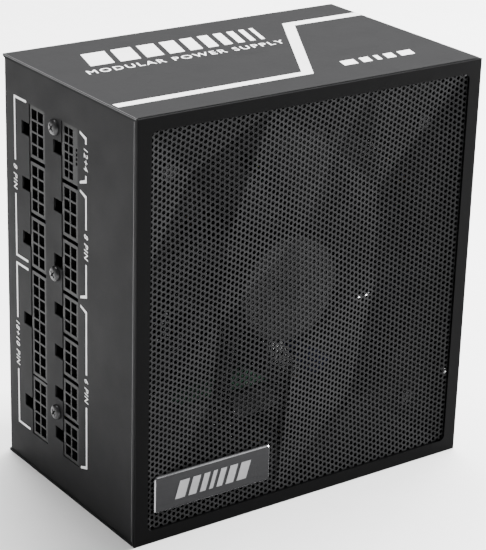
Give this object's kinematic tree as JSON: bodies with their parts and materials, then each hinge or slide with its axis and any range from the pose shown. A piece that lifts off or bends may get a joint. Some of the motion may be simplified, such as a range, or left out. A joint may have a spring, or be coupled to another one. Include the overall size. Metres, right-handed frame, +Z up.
{
  "type": "modular computer power supply unit",
  "caption": "Compact modular computer power supply: black steel casing, faceted perforated fan side, keyed sockets on one end, mains inlet and switch on the other.",
  "frame": {"origin": "middle of the bottom plate that the unit stands on", "axes": "+Z up along the 150 mm height; -Y is the fan side, +Y the closed back; -X the connector panel, +X the rear panel with the mains inlet"},
  "size_m": [0.1451, 0.0876, 0.15],
  "materials": {
    "black_steel": "fine black powder coat",
    "mesh_steel": "satin black coat on perforated steel",
    "badge_metal": "dark brushed plate with bright cut edges",
    "black_nylon": "moulded black nylon",
    "circuit_board": "solder mask",
    "brass": "plated",
    "copper": "tinned copper",
    "fan_plastic": "moulded fan plastic",
    "bare_steel": "zinc plated",
    "screw_steel": "black oxide",
    "ferrite": "matt ferrite",
    "rocker_plastic": "smooth black",
    "heatsink_aluminium": "extruded",
    "capacitor_sleeve": "shrink sleeve",
    "winding_tape": "taped winding",
    "film": "clear amber film",
    "part_box": "moulded box",
    "moulding": "epoxy"
  },
  "bodies": {
    "casing": {"badge_plate": "badge_metal", "badge_push_nuts": "bare_steel", "board_screws": "screw_steel", "board_standoffs": "brass", "boost_choke": "winding_tape", "boost_heatsink": "heatsink_aluminium", "bridge_rectifier": "moulding", "bulk_capacitors": "capacitor_sleeve", "bus_bars": "copper", "casing_screws": "screw_steel", "chassis_tray": "black_steel", "control_board": "circuit_board", "cover": "black_steel", "fan_bearing": "brass", "fan_bracket": "bare_steel", "fan_circuit_board": "circuit_board", "fan_coils": "copper", "fan_housing": "fan_plastic", "fan_screws": "screw_steel", "fan_stator": "bare_steel", "filter_capacitor": "part_box", "front_frame": "black_steel", "inlet_blades": "brass", "inrush_relay": "part_box", "insulation_film": "film", "line_chokes": "winding_tape", "main_board": "circuit_board", "mains_inlet": "black_nylon", "mesh_grille": "mesh_steel", "output_capacitors": "capacitor_sleeve", "output_heatsink": "heatsink_aluminium", "panel_screws": "screw_steel", "power_transistors": "moulding", "rear_panel": "black_steel", "resonant_choke": "ferrite", "socket_board": "circuit_board", "socket_board_posts": "brass", "socket_cpu_1": "black_nylon", "socket_cpu_2": "black_nylon", "socket_cpu_3": "black_nylon", "socket_cpu_4": "black_nylon", "socket_cpu_5": "black_nylon", "socket_drive_1": "black_nylon", "socket_drive_2": "black_nylon", "socket_drive_3": "black_nylon", "socket_drive_4": "black_nylon", "socket_graphics": "black_nylon", "socket_main_10": "black_nylon", "socket_main_18": "black_nylon", "socket_pins": "brass", "standby_transformer": "ferrite", "switch_housing": "black_nylon", "switch_terminals": "brass", "transformer_core": "ferrite", "transformer_winding": "winding_tape"},
    "fan_wheel": {"fan_rotor": "fan_plastic", "fan_shaft": "bare_steel", "rotor_yoke": "bare_steel", "rotor_magnet": "ferrite"},
    "rocker": {"switch_rocker": "rocker_plastic"}
  },
  "joints": [
    {"name": "fan_spin", "type": "hinge", "parent": "casing", "child": "fan_wheel", "pos_m": [0, -0.02, 0.075], "axis": [0, 1, 0], "continuous": true},
    {"name": "switch_rock", "type": "hinge", "parent": "casing", "child": "rocker", "pos_m": [0.0667, 0.015, 0.071], "axis": [0, 1, 0], "range_deg": [-18, 0]}
  ]
}
